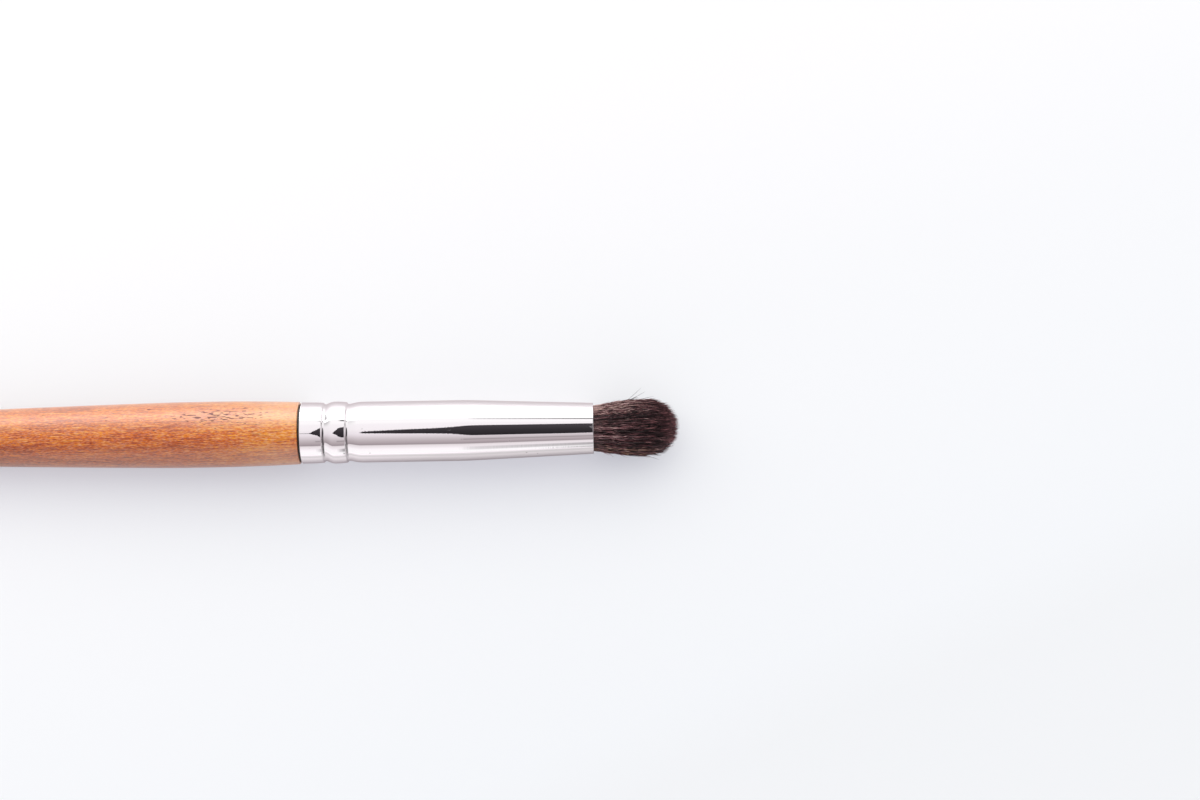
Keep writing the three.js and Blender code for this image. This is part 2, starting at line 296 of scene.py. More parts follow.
def platedMetal():
    # Drawn tube, polished and bright plated: a clear neutral mirror, greyer at a low angle, with
    # faint rings from the die, which roughen the edges of what it mirrors, and a few dull specks.
    # The two grooves are painted dark, mostly on the -Y side, as painted shade and painted reflection in
    # them.
    f = ferruleShape
    material, add = newMaterial("bright_nickel_plate_polished")
    place = add("TexCoord").outputs["Object"]
    parts = add("SeparateXYZ", {0: place})
    rings, speck = [add("TexNoise", {
        "Vector": add("Mapping", {"Vector": place, "Scale": stretch}), "Scale": 1, "Detail": 1,
    }) for stretch in [(3400, 400, 400), (900, 1500, 1500)]]
    bump = add("Bump", {"Height": rings, "Distance": 0.0000022, "Strength": 1})
    dull = add("MapRange", {
        "Value": speck, "From Min": 0.72, "From Max": 0.8, "To Min": 0.03, "To Max": 0.22,
    })
    plate = add("ValToRGB", {"Fac": speck}, [
        (0, "e0dddf"), (0.8, "e0dddf"), (0.83, "96928f"), (1, "96928f"),
    ])
    reach = 10  # millimetres of the ferrule that the first ramp covers, from the rear rim
    alongPlace = add("MapRange", {
        "Value": parts.outputs["X"], "From Min": rimX * mm, "From Max": (rimX + reach) * mm,
    })
    grooveOne = f["bandLength"] + f["grooveWall"] + f["grooveShadeAhead"]
    grooveTwo = grooveOne + f["grooveFloor"] + f["beadRise"] + f["beadCrown"] + f["grooveWall"]
    wide, sharp = f["grooveShadeWidth"], f["grooveShadeCore"]
    inGroove = add("ValToRGB", {"Fac": alongPlace}, [
        ((grooveOne - wide) / reach, "000000"), ((grooveOne - sharp) / reach, "ffffff"),
        ((grooveOne + sharp) / reach, "ffffff"), ((grooveOne + wide) / reach, "000000"),
        ((grooveTwo - wide) / reach, "000000"), (grooveTwo / reach, "ffffff"),
        ((grooveTwo + wide) / reach, "000000"),
    ])
    sidePlace = add("MapRange", {"Value": parts.outputs["Y"], "From Min": -0.005, "From Max": 0.005})
    onSide = add("ValToRGB", {"Fac": sidePlace}, [
        (0.1, "303030"), (0.2, "ffffff"), (0.5, "ffffff"), (0.55, "c8c8c8"), (0.59, "585858"),
        (0.62, "303030"), (1, "404040"),
    ])
    # Painted shade: the grooves darkened, mostly on the -Y side
    grooveShade = add("Math", {0: inGroove, 1: onSide}, operation="MULTIPLY")
    share = add("Math", {0: grooveShade, 1: f["grooveShadeShare"]}, operation="MULTIPLY")
    colour = add("Mix", {"Factor": share, "A": plate, "B": toLinear("171413")}, data_type="RGBA")
    shader = add("BsdfPrincipled", {
        "Base Color": colour, "Metallic": 1, "Specular Tint": toLinear("e2dcde"),
        "Roughness": dull, "Normal": bump,
    })
    add("OutputMaterial", {"Surface": shader})
    return material


addPiece("ferrule_tube", *turned(*ferruleProfile(), ferruleShape["sides"], closed=True), platedMetal(),
         "ferrule_metal", "ferrule")
print("ferrule turned")

# Handle

handleShape = {
    "belly": 5.06,
    "bellyFromShoulder": 13.7,
    "bellyCrest": 3,
    "shoulderGap": 0.33,
    "shoulderStep": 0.1,
    "shoulderRounding": 0.22,
    "tail": 2.65,
    "tailRounding": 3.4,
    "butt": 1.3,
    "bellyPullShare": 0.105,
    "tailPullShare": 0.39,
    "tailGainShare": 0.4,
    "outlineSoftness": 0.8,
    "tenonChamfer": 0.8,
    "glueGap": 0.22,  # between the tenon and the bore
    "sides": 160,
}


def bezier(t, *ends):
    # A cubic curve from four numbers, for one coordinate.
    weights = [(1 - t) ** 3, 3 * t * (1 - t) ** 2, 3 * t ** 2 * (1 - t), t ** 3]
    return sum(w * e for w, e in zip(weights, ends))


def handleProfile():
    # Flat butt, quarter ellipse, cubic taper, level crest, parabola to the shoulder, tenon.
    h = handleShape
    shoulderX = rimX - h["shoulderGap"]
    tailX = buttX + h["tailRounding"]
    crestX = shoulderX - h["bellyFromShoulder"]
    backX = crestX - h["bellyCrest"]
    shoulder = ferruleShape["band"] + h["shoulderStep"]
    edgeX = shoulderX - h["shoulderRounding"]
    t = np.linspace(0, 1, 400)
    run = backX - tailX
    gain = h["tail"] + (h["belly"] - h["tail"]) * h["tailGainShare"]
    taperX = bezier(t, tailX, tailX + run * h["tailPullShare"], backX - run * h["bellyPullShare"], backX)
    taperR = bezier(t, h["tail"], gain, h["belly"], h["belly"])
    fine = np.arange(tailX, edgeX, 0.05)
    front = np.clip((fine - crestX) / (edgeX - crestX), 0, 1)
    ahead = h["belly"] - (h["belly"] - shoulder) * front ** 2
    r = np.where(fine < backX, np.interp(fine, taperX, taperR), ahead)
    r = softened(fine, r, h["outlineSoftness"])
    body = slice(0, None, 10)
    a = np.linspace(0, np.pi / 2, 24)[:-1]
    tailSx = tailX - h["tailRounding"] * np.cos(a)
    tailR = h["butt"] + (r[0] - h["butt"]) * np.sin(a)
    a = np.linspace(0, np.pi / 2, 8)
    edgeSx = edgeX + h["shoulderRounding"] * np.sin(a)
    edgeR = r[-1] - h["shoulderRounding"] * (1 - np.cos(a))
    tenonS = turnStations(0, tenonEndX - rimX - h["tenonChamfer"], 90)
    tenonR = boreRadius(tenonS) - h["glueGap"]
    x = [[buttX], tailSx, fine[body], edgeSx, [shoulderX], tenonS + rimX, [tenonEndX, tenonEndX]]
    radius = [[0], tailR, r[body], edgeR, [tenonR[0]], tenonR, [tenonR[-1] - h["tenonChamfer"], 0]]
    return np.concatenate(x), np.concatenate(radius)


woodLook = {
    "fibre": (0.55, 0.12),  # length along the grain and width across it
    "streak": (2.6, 0.22),
    "figure": (12, 1.5),
    "dapple": (0.6, 0.15),
    "fleck": (1.05, 0.23),
    "pore": (0.6, 0.13),
    "vein": (9, 0.17),
    "wornSpot": (-12.6, 2.7, 4),  # from the ferrule's rear rim, across, and above the axis
    "wornHalf": (9.5, 2.3, 2.5),  # its half sizes
}
# Changes of the stain, some of them painted shade, light and sheen: axis, where one begins and ends,
# from the rear rim along X and from the middle across Y, and its values there
stainChanges = {
    # Painted shade: the -Y half redder and darker
    "redShadeAcross": ("Y", 0.4, -2.2, 0.1, 0.9),
    "redAlong": ("X", -7, -17, 0.1, 1),
    "deepAlong": ("X", -37, -45, 0, 0.03),
    # Painted light: the +Y half paler near the ferrule
    "litAlong": ("X", -16, -5, 0, 0.05),
    "litAcross": ("Y", -1.5, 1, 0, 1),
    # Painted sheen: pale bands along both edges across Y, stronger near the ferrule
    "sheenAcross": ("Y", -5, 5, 0, 1),
    "sheenAlong": ("X", -10, -4, 1, 1.9),
}


def lacqueredBeech():
    # Turned beech, stained orange brown and clear lacquered: fine fibres and short streaks along
    # the grain, dark ray flecks and pores, a few long veins, and a gloss with a slight orange peel.
    # The -Y half is painted redder and darker, as painted shade; near the ferrule the +Y half is
    # painted paler, as painted light; and pale peach bands along both edges across Y are a painted
    # sheen of the lacquer. The flecks gather in one worn, paler spot, where they have no lacquer.
    w = woodLook
    material, add = newMaterial("beech_stained_clear_lacquer")
    place = add("TexCoord").outputs["Object"]
    parts = add("SeparateXYZ", {0: place})

    def grainNoise(kind, detail, distortion=0):
        along, across = [1 / (size * mm) for size in w[kind]]
        stretched = add("Mapping", {"Vector": place, "Scale": (along, across, across)})
        return add("TexNoise", {
            "Vector": stretched, "Scale": 1, "Detail": detail, "Distortion": distortion,
        })

    change = {}
    for key, (axis, begins, ends, low, high) in stainChanges.items():
        start = rimX if axis == "X" else 0
        change[key] = add("MapRange", {
            "Value": parts.outputs[axis], "From Min": (start + begins) * mm,
            "From Max": (start + ends) * mm, "To Min": low, "To Max": high,
        })
    fibres, figure = grainNoise("fibre", 2, 0.2), grainNoise("figure", 2)
    grain = add("Mix", {"Factor": 0.45, "A": fibres, "B": grainNoise("streak", 2, 0.3)})
    stain = add("Mix", {"Factor": 0.28, "A": grain, "B": figure})
    # Painted light: the stain paler on the +Y half near the ferrule
    litStain = add("Math", {
        0: change["litAlong"], 1: change["litAcross"], 2: stain,
    }, operation="MULTIPLY_ADD")
    golden = add("ValToRGB", {"Fac": litStain}, [
        (0.39, "963a0f"), (0.455, "c05717"), (0.5, "d57022"), (0.55, "e28a2e"), (0.62, "f0ac4c"),
    ])
    deepStain = add("Math", {0: stain, 1: change["deepAlong"]}, operation="SUBTRACT")
    red = add("ValToRGB", {"Fac": deepStain}, [
        (0.39, "742808"), (0.455, "a33d0f"), (0.5, "bb5117"), (0.55, "ce6922"), (0.62, "e28a38"),
    ])
    patchy = add("MapRange", {
        "Value": figure, "From Min": 0.38, "From Max": 0.62, "To Min": -0.3, "To Max": 0.3,
    })
    # Painted shade: the -Y half redder and darker
    redShare = add("Math", {
        0: change["redShadeAcross"], 1: change["redAlong"], 2: patchy,
    }, operation="MULTIPLY_ADD", use_clamp=True)
    stained = add("Mix", {"Factor": redShare, "A": golden, "B": red}, data_type="RGBA")
    strength = add("MapRange", {
        "Value": grainNoise("dapple", 2), "From Min": 0.36, "From Max": 0.64,
        "To Min": 0.87, "To Max": 1.08,
    })
    colour = add("HueSaturation", {"Color": stained, "Saturation": strength})
    halfSize = np.array(w["wornHalf"]) * mm
    spot = (np.array(w["wornSpot"]) + [rimX, 0, axisZ]) * mm / halfSize
    scaled = add("Mapping", {"Vector": place, "Scale": 1 / halfSize})
    away = add("VectorMath", {0: scaled, 1: spot}, operation="DISTANCE")
    worn = add("MapRange", {"Value": away, "From Min": 0.3, "From Max": 1, "To Min": 1, "To Max": 0})
    paleShare = add("Math", {0: worn, 1: 0.3}, operation="MULTIPLY")
    # Painted sheen of the lacquer: pale peach bands along both edges across Y, stronger near the ferrule
    sheenShare = add("ValToRGB", {"Fac": change["sheenAcross"]}, [
        (0, "7c7c7c"), (0.2, "747474"), (0.4, "000000"), (0.55, "000000"), (0.72, "808080"),
        (1, "888888"),
    ])
    paintedSheen = add("Math", {0: sheenShare, 1: change["sheenAlong"]}, operation="MULTIPLY")
    fleckHere = add("Math", {0: worn, 1: 0.2, 2: grainNoise("fleck", 1)}, operation="MULTIPLY_ADD")
    # Where a noise begins to show and is full, and the most that it hides
    pores, veins, flecks = [add("MapRange", {
        "Value": noise, "From Min": begins, "From Max": full, "To Max": most,
    }) for noise, begins, full, most in [
        (grainNoise("pore", 1), 0.62, 0.74, 0.45), (grainNoise("vein", 1, 0.4), 0.64, 0.71, 0.5),
        (fleckHere, 0.72, 0.78, 0.85),
    ]]
    for layer, code in [
        (pores, "86401f"), (veins, "663222"), (paleShare, "c98c80"), (paintedSheen, "efc2a6"),
        (flecks, "4e1f28"),
    ]:
        colour = add("Mix", {"Factor": layer, "A": colour, "B": toLinear(code)}, data_type="RGBA")
    coat = add("MapRange", {"Value": flecks, "To Min": 0.8, "To Max": 0.2})
    relief = add("Math", {0: fibres, 1: flecks}, operation="SUBTRACT")
    bump = add("Bump", {"Height": relief, "Distance": 0.00001, "Strength": 0.5})
    filled = add("Bump", {"Height": relief, "Distance": 0.000004, "Strength": 1})
    shader = add("BsdfPrincipled", {
        "Base Color": colour, "Roughness": 0.4, "IOR": 1.5, "Specular IOR Level": 0.2,
        "Normal": bump, "Coat Weight": coat, "Coat Roughness": 0.3, "Coat IOR": 1.5,
        "Coat Normal": filled,
    })
    add("OutputMaterial", {"Surface": shader})
    return material


addPiece("handle_body", *turned(*handleProfile(), handleShape["sides"]), lacqueredBeech(),
         "handle_wood", "handle", 40)
print("handle turned")

# Glue and resin

glueShape = {
    "thickness": 0.12,
    "clearance": 0.05,
    "lineRecess": 0.3,  # how far the line in the joint lies below the ferrule
    "bowlDepth": 0.7,  # of the resin's rear face
}


def glueProfile():
    # A film along the bore with a thin collar that fills the joint between wood and metal.
    g = glueShape
    s = turnStations(0, tenonEndX - rimX - handleShape["tenonChamfer"], 70)
    outer = boreRadius(s) - g["clearance"]
    backS = g["clearance"] - handleShape["shoulderGap"]
    frontS = -g["clearance"]
    collar = ferruleShape["band"] - g["lineRecess"]
    x = [[backS, frontS, frontS], s, s[::-1], [backS]]
    r = [[collar, collar, outer[0]], outer, outer[::-1] - g["thickness"], [outer[0] - g["thickness"]]]
    return np.concatenate(x) + rimX, np.concatenate(r)


# Epoxy squeezed into the joint: near black, as painted shade in the narrow joint, and slightly uneven
darkGlue = noiseMaterial(
    "epoxy_glue_set", {"Scale": 1500, "Detail": 3}, [(0.35, "060403"), (0.7, "1a100e")],
    {"Distance": 0.00003, "Strength": 0.6}, {"Roughness": 0.55, "IOR": 1.55},
)
addPiece("glue_film", *turned(*glueProfile(), 128, closed=True), darkGlue, "ferrule_glue",
         "handle_glue", 40)


def resinProfile():
    # A plug between the roots and the chamber; its rear face is a bowl, deepest on the axis.
    backX, frontX = resinLow.x / mm, resinHigh.x / mm
    side = np.linspace(backX, frontX, 14)
    sideR = boreRadius(side - rimX) - glueShape["clearance"]
    share = np.linspace(0, 1, 14)[:-1]
    bowlX = backX + glueShape["bowlDepth"] * (1 - share ** 2)
    return (np.concatenate([bowlX, side, [frontX]]),
            np.concatenate([share * sideR[0], sideR, [0]]))


# Amber epoxy cast behind the hair: glossy and level, cloudy in places
castResin = noiseMaterial(
    "epoxy_resin_cast_amber", {"Scale": 600, "Detail": 3}, [(0.3, "b98a45"), (0.7, "d9b676")],
    {"Strength": 0}, {"Roughness": 0.12, "IOR": 1.55},
)
addPiece("resin_plug", *turned(*resinProfile(), 96), castResin, "root_resin", "root_resin", 40)
print("glue and resin made")

# Thread

threadShape = {
    "diameter": 0.4,
    "turns": 4,
    "plies": 2,
    "plyTwists": 26,  # turns of the plies round each other, over the whole length
    "steps": 640,
    "sides": 8,
}


def ringsAlong(path, sides, away):
    # A circle of radius 1 across a path at each of its points; its first corner lies across away.
    ahead = np.gradient(path, axis=-2)
    ahead /= np.linalg.norm(ahead, axis=-1, keepdims=True)
    side = np.cross(ahead, away)
    side /= np.linalg.norm(side, axis=-1, keepdims=True)
    up = np.cross(side, ahead)
    angle = 2 * np.pi * np.arange(sides)[:, None] / sides
    return np.cos(angle) * side[..., None, :] + np.sin(angle) * up[..., None, :]


def sweptTube(path, radius, sides):
    # A closed tube along a path.
    points = (path[:, None, :] + radius * ringsAlong(path, sides, [1, 0, 0])).reshape(-1, 3)
    index = np.arange(len(path) * sides).reshape(len(path), sides)
    here, there = index[:-1], index[1:]
    quads = np.stack([here, there, np.roll(there, -1, 1), np.roll(here, -1, 1)], -1).reshape(-1, 4)
    return points, quads.tolist() + [index[0].tolist(), index[-1][::-1].tolist()]


def plyPath(ply):
    # A helix round the brush's axis, and on it a tighter helix round the thread's own middle.
    t = threadShape
    u = np.linspace(0, 1, t["steps"])
    lay = t["diameter"] / 4
    low, high = threadLow.x / mm + t["diameter"] / 2, threadHigh.x / mm - t["diameter"] / 2
    turn = 2 * np.pi * t["turns"] * u
    twist = 2 * np.pi * (t["plyTwists"] * u + ply / t["plies"])
    radius = (threadHigh.z - threadLow.z) / 2 / mm - t["diameter"] / 2 + lay * np.cos(twist)
    x = low + (high - low) * u + lay * np.sin(twist)
    return roundAxis(x, radius, turn)


def windThread():
    points, faces, first = [], [], 0
    for ply in range(threadShape["plies"]):
        plyPoints, plyFaces = sweptTube(plyPath(ply), threadShape["diameter"] / 4, threadShape["sides"])
        points.append(plyPoints)
        faces += [[first + i for i in face] for face in plyFaces]
        first += len(plyPoints)
    return np.concatenate(points), faces


# Two-ply cotton sewing thread: matt, off-white, slightly soiled
cottonThread = noiseMaterial(
    "cotton_thread_twisted", {"Scale": 9000, "Detail": 2}, [(0.35, "c9c0aa"), (0.65, "ece6d6")],
    {"Distance": 0.00003, "Strength": 0.8}, {"Roughness": 0.9, "Sheen Weight": 0.3},
)
addPiece("thread_winding", *windThread(), cottonThread, "tie_thread", "tie_thread", 50)
print("thread wound")

# Hair

tuftShape = {
    "rootRadius": 3.54,
    "radius": 4.36,
    "bellyReach": 7.4,  # mouth to the widest place
    "drawIn": 0.35,
    "sideLength": 8.7,
    "domePower": 2.4,
    "rootRecess": 0.15,
    "hairs": 6000,
    "hairRadius": 0.061,  # coarser than the real 0.03, so that single hairs show
    "hairSides": 3,
    "stations": 27,
    "locks": 1000,
    "fuzz": 600,
    "shortShare": 0.22,  # of the outer hairs, which end on the side
    "looseShare": 0.2,  # of the hairs, which stand off from the rest
    "lightShare": 0.12,
    "longShare": 0.12,  # of the hairs, which reach past the dome
    "sunkShare": 0.25,  # of the locks, which end below it
    "seed": 11,
    # Lengths
    "added": 0.12,  # to each, in millimetres
    "unevenLocks": 0.12,
    "shortTo": (0.45, 0.95),  # share of its length that a short hair keeps
    "longBy": (0.1, 0.42),
    "sunkBy": (0.3, 1.2),
    "fallShort": (1.2, 0.33),  # shape and scale of a gamma law, as for the swings
    # Tones, from 0, dark, to 1, light
    "baseTone": 0.16,
    "lockTone": 0.16,
    "hairTone": 0.2,
    "lightTone": 0.28,
    "waveTone": 0.2,
    "spotTone": 0.08,
    "toneWave": (1.2, 3),
    # Courses, in shares of the tuft's radius; waves are in millimetres
    "jitter": 0.004,
    "lockJitter": 0.009,
    "pull": (0.45, 0.9),  # how far a lock draws its hairs together
    "sink": 0.045,
    "lockLean": 0.035,
    "hairLean": 0.04,
    "lockWave": (2, 5),
    "hairWave": (1.3, 4),
    "lockSwing": (2.5, 0.009),
    "hairSwing": (1.6, 0.0065),
    "standOff": 0.014,
    "looseBy": (0.02, 0.12),
    "edge": 0.92,  # beyond it the places are pressed together
    "give": 0.075,
}
# Stray hairs: where they leave, from the mouth; angle round the axis from +Y; length; rise; tone
strayHairs = [
    (5.0, 8, 2.5, 2.1, 0.1), (5.3, 3, 2.9, 1.4, 0.1), (5.4, 4, 1.3, 0.55, 0), (5.2, 0, 1.7, 0.6, 0),
    (5.5, -3, 1.6, 0.45, 0), (6.6, -4, 2.8, 0.6, 0.2), (3.1, 9, 3.4, 0.4, 0.5), (7.2, 15, 2.6, 0.6, 0.2),
    (7.6, 183, 2.6, 0.95, 0.25), (6.6, 178, 2.2, 0.5, 0.2), (5.9, 172, 2.4, 0.35, 0.3),
    (6.2, 60, 2.6, 0.8, 0.3), (7.1, 105, 2.6, 0.6, 0.2), (4.6, 128, 2.8, 0.5, 0.3),
    (6.9, 36, 2.2, 0.5, 0.3), (7.6, 236, 2.4, 0.35, 0.2), (6.4, 300, 2.5, 0.3, 0.3),
    # The last three, short, light and facing up, are partly light hairs and partly painted highlights
    (0.2, 88, 0.9, 0.6, 1), (5.9, 111, 0.5, 0.25, 1), (10.0, 114, 0.5, 0.1, 0.9),
]


def tuftRadiusAt(reach):
    # Sine flare out to the belly, then a slight bend back in towards the tip.
    t = tuftShape
    flare = t["rootRadius"] + (t["radius"] - t["rootRadius"]) * np.sin(
        np.pi / 2 * np.clip(reach / t["bellyReach"], 0, 1))
    past = np.clip((reach - t["bellyReach"]) / (tipX - mouthX - t["bellyReach"]), 0, 1.2)
    return flare - t["drawIn"] * past ** 2


def spiralDisc(count):
    # Places spread evenly over a disc of radius 1, as seeds in a sunflower.
    i = np.arange(count) + 0.5
    angle = i * np.pi * (3 - math.sqrt(5))
    return np.sqrt(i / count)[:, None] * np.stack([np.cos(angle), np.sin(angle)], -1)


def hairLengths(rng, share, lock):
    # The longest hairs end on the dome, sideLength + rest * sqrt(1 - share^power). The others
    # fall short of it by a skewed random amount, some outer ones end on the side, some reach past
    # the dome and some whole locks end below it.
    t = tuftShape
    count, locks = len(share), t["locks"]
    rest = tipX - mouthX - t["sideLength"]
    dome = t["sideLength"] + rest * np.sqrt(1 - share ** t["domePower"])
    short = (rng.random(count) < t["shortShare"]) & (share > 0.6)
    dome *= np.where(short, rng.uniform(*t["shortTo"], count), 1)
    past = (rng.random(count) < t["longShare"]) * rng.uniform(*t["longBy"], count)
    lockPast = rng.normal(0, t["unevenLocks"], locks)
    lockPast -= (rng.random(locks) < t["sunkShare"]) * rng.uniform(*t["sunkBy"], locks)
    length = dome + t["added"] - rng.gamma(*t["fallShort"], count) + past + lockPast[lock]
    return np.minimum(length, tipX - mouthX + 0.3)


def hairCentrelines(rng):
    # Each hair keeps its place in the disc as the tuft flares. The hairs of a lock draw together
    # towards its middle, sink with it and swing with it in a wave. Each hair adds a smaller wave
    # and a straight lean of its own. Towards the surface the places are pressed together, by a
    # hyperbolic tangent, and the loose hairs stand off from it.
    t = tuftShape
    count, locks = t["hairs"], t["locks"]
    disc = spiralDisc(count) + rng.normal(0, t["jitter"], (count, 2))
    lockPlace = spiralDisc(locks) + rng.normal(0, t["lockJitter"], (locks, 2))
    lock = np.argmin(((disc[:, None] - lockPlace) ** 2).sum(-1), 1)
    share = np.minimum(np.linalg.norm(disc, axis=1), 0.999)
    length = hairLengths(rng, share, lock)
    along = np.linspace(0, 1, t["stations"])
    start = -t["rootRecess"] - 0.3
    reach = start + (length[:, None] - start) * along
    grown = np.clip(reach / (tipX - mouthX), 0, 1)[..., None]
    free = np.clip(10 * grown, 0, 1)
    pull = rng.uniform(*t["pull"], (locks, 1, 1))[lock] * (0.5 + 0.5 * grown) * free
    flat = disc[:, None] + (lockPlace[lock] - disc)[:, None] * pull
    flat *= 1 - np.abs(rng.normal(0, t["sink"], (locks, 1, 1)))[lock] * free
    turn = 2 * np.pi * reach[..., None]
    lockWave = rng.uniform(*t["lockWave"], (locks, 1, 1))[lock]
    lockPhase = rng.uniform(0, 2 * np.pi, (locks, 1, 2))[lock]
    lockSwing = rng.gamma(*t["lockSwing"], (locks, 1, 1))[lock]
    lean = rng.normal(0, t["lockLean"], (locks, 1, 2))[lock]
    flat += (lean * grown + lockSwing * np.sin(turn / lockWave + lockPhase)) * free
    hairPhase = rng.uniform(0, 2 * np.pi, (count, 1, 2))
    hairWave = rng.uniform(*t["hairWave"], (count, 1, 1))
    hairSwing = rng.gamma(*t["hairSwing"], (count, 1, 1))
    flat += hairSwing * np.sin(turn / hairWave + hairPhase) * (0.3 + grown)
    flat += rng.normal(0, t["hairLean"], (count, 1, 2)) * grown ** 1.3
    size = np.linalg.norm(flat, axis=-1, keepdims=True)
    edge, give = t["edge"], t["give"]
    pressed = np.minimum(size, edge) + give * np.tanh(np.maximum(size - edge, 0) / give)
    own = rng.normal(0, t["standOff"], (count, 1, 1)) * (0.15 + grown)
    own += rng.normal(0, t["standOff"], (locks, 1, 1))[lock] * free * (0.4 + grown)
    loose = (rng.random((count, 1, 1)) < t["looseShare"]) * rng.uniform(*t["looseBy"], (count, 1, 1))
    flat = flat / np.maximum(size, 1e-6) * pressed * (1 + own + loose * grown ** 1.3)
    spread = tuftRadiusAt(reach)[..., None]
    centre = np.concatenate([mouthX + reach[..., None], flat * spread + [0, axisZ]], -1)
    return centre, disc, share, lock, reach


def strayCentrelines():
    # Hairs that leave the side of the tuft: the radius rises with a power of the way along.
    leave, degrees, length, rise, tone = np.array(strayHairs, float).T[..., None]
    u = np.linspace(0, 1, 8)
    reach = leave + length * u
    radius = tuftRadiusAt(reach) * 0.97 + rise * u ** 1.2
    angle = np.radians(degrees + 4 * u)
    return roundAxis(mouthX + reach, radius, angle), u, tone + 0 * u


def fuzzCentrelines(rng):
    # Fine ends all over the side of the tuft: each runs under the surface and comes out of it.
    count = tuftShape["fuzz"]
    u = np.linspace(0, 1, 6)
    end = rng.uniform(2.2, 9.9, (count, 1))
    reach = end - rng.uniform(1.2, 2.6, (count, 1)) * (1 - u)
    radius = tuftRadiusAt(reach) * 0.95 + rng.gamma(2, 0.08, (count, 1)) * u ** 1.5 + 0.12 * u
    angle = rng.uniform(0, 2 * np.pi, (count, 1)) + rng.normal(0, 0.03, (count, 1)) * u
    return roundAxis(mouthX + reach, radius, angle), u


def hairMesh(centre, radius):
    # Three-sided tubes that end in a point. centre is hair by station by 3.
    hairs, stations, _ = centre.shape
    sides = tuftShape["hairSides"]
    ring = ringsAlong(centre, sides, [0, 0, 1])
    body = centre[:, :-1, None, :] + radius[:, :-1, None, None] * ring[:, :-1]
    each = (stations - 1) * sides + 1
    points = np.concatenate([body.reshape(hairs, -1, 3), centre[:, -1:, :]], 1)
    ids = np.arange(each)
    rings = ids[:-1].reshape(stations - 1, sides)
    quads = np.stack([rings[:-1], rings[1:], np.roll(rings[1:], -1, 1), np.roll(rings[:-1], -1, 1)], -1)
    tips = np.stack([rings[-1], np.full(sides, ids[-1]), np.roll(rings[-1], -1)], -1)
    offset = (np.arange(hairs) * each)[:, None, None]
    faces = (quads.reshape(1, -1, 4) + offset).reshape(-1, 4).tolist()
    faces += (tips[None] + offset).reshape(-1, 3).tolist()
    faces += (rings[0][None, None] + offset).reshape(-1, sides).tolist()
    return points.reshape(-1, 3), faces


def brushHair():
    # Fine dark brown hair: the tone changes from hair to hair and lock to lock, between a mauve
    # and a golden brown. Below 0, the warmth turns the hair ruddy, which at the thin ends and in the
    # fuzz is painted light through the hair.
    material, add = newMaterial("goat_hair_dyed_dark_brown")
    tone = add("Attribute", attribute_name="tone")
    warmth = add("Attribute", attribute_name="warmth")
    mauve = add("ValToRGB", {"Fac": tone.outputs["Fac"]}, [
        (0, "160a0d"), (0.25, "331f23"), (0.5, "604145"), (0.75, "987273"), (1, "cfaca8"),
    ])
    golden = add("ValToRGB", {"Fac": tone.outputs["Fac"]}, [
        (0, "190e0a"), (0.25, "38241a"), (0.5, "664531"), (0.75, "9b704e"), (1, "cda47e"),
    ])
    colour = add("Mix", {"Factor": warmth.outputs["Fac"], "A": mauve, "B": golden}, data_type="RGBA")
    ruddy = add("Math", {0: warmth.outputs["Fac"], 1: -1}, operation="MULTIPLY", use_clamp=True)
    ruddier = add("Mix", {
        "Factor": ruddy, "A": colour, "B": toLinear("ffaab8"),
    }, data_type="RGBA", blend_type="MULTIPLY")
    shader = add("BsdfPrincipled", {
        "Base Color": ruddier, "Roughness": 0.28, "IOR": 1.55, "Specular IOR Level": 0.35,
        "Specular Tint": toLinear("e8d4d5"),
    })
    add("OutputMaterial", {"Surface": shader})
    return material


def addHair(name, centre, radius, tone, warmth, material):
    # tone and warmth are hair by station
    points, faces = hairMesh(centre, radius)
    piece = addPiece(name, points, faces, material, "brush_hair", "hair_tuft")
    sides = tuftShape["hairSides"]
    for label, values in (("tone", tone), ("warmth", warmth)):
        perPoint = np.concatenate([np.repeat(values[:, :-1], sides, 1), values[:, -1:]], 1)
        attribute = piece.data.attributes.new(label, "FLOAT", "POINT")
        attribute.data.foreach_set("value", perPoint.reshape(-1).astype(np.float32))


